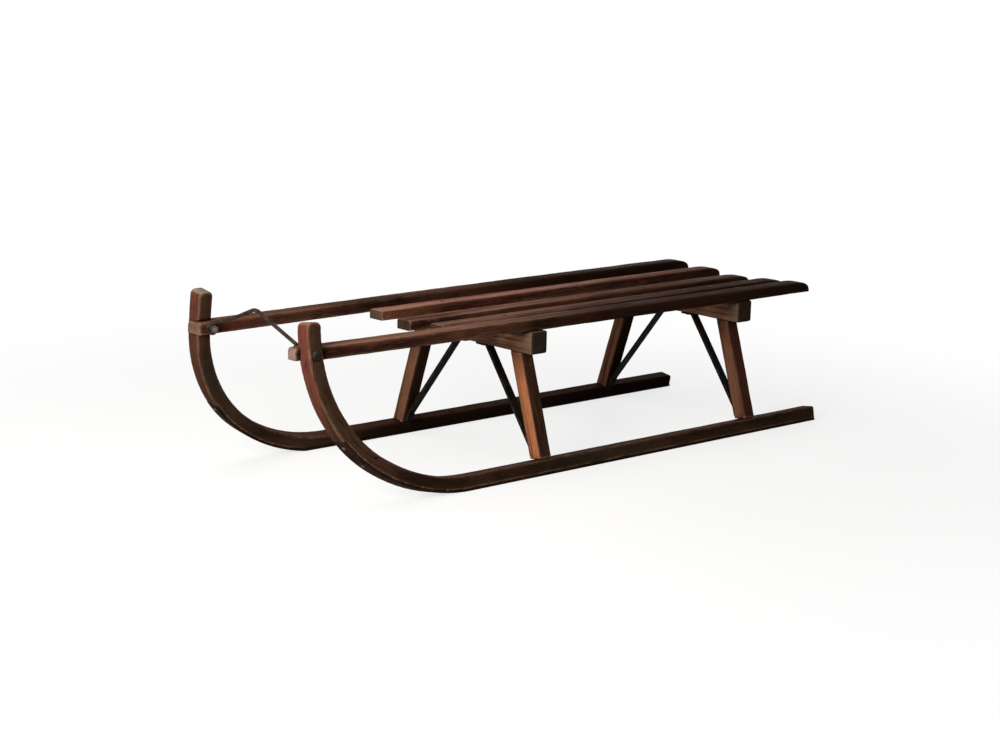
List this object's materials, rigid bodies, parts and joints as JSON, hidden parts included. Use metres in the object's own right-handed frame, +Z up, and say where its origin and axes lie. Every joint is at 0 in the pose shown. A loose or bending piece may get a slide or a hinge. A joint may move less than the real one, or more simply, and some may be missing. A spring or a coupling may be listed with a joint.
{
  "type": "wooden sled",
  "caption": "Wooden sled with bent runners rising to horns, braced trestles, a slatted deck between long side rails, and an iron tow bow across the front.",
  "frame": {"origin": "on the ground, under the middle of the sled's length and width", "axes": "+X forward to the horns, +Y to the sled's left, +Z up"},
  "size_m": [1.054, 0.3554, 0.2768],
  "materials": {
    "frame_wood": "dark brown stain, worn",
    "deck_wood": "reddish brown stain, worn",
    "black_iron": "black, slightly rusted",
    "shoe_iron": "worn bare on the sole"
  },
  "bodies": {
    "root": {"runner_left": "frame_wood", "runner_right": "frame_wood", "shoe_left": "shoe_iron", "shoe_right": "shoe_iron", "rail_left": "deck_wood", "rail_right": "deck_wood", "slat_left": "deck_wood", "slat_centre": "deck_wood", "slat_right": "deck_wood", "beam_front": "frame_wood", "beam_rear": "frame_wood", "leg_front_left": "frame_wood", "leg_front_right": "frame_wood", "leg_rear_left": "frame_wood", "leg_rear_right": "frame_wood", "stay_front_left": "black_iron", "stay_front_right": "black_iron", "stay_rear_left": "black_iron", "stay_rear_right": "black_iron", "bolt_left": "black_iron", "bolt_right": "black_iron", "tow_bow": "black_iron"}
  },
  "joints": []
}
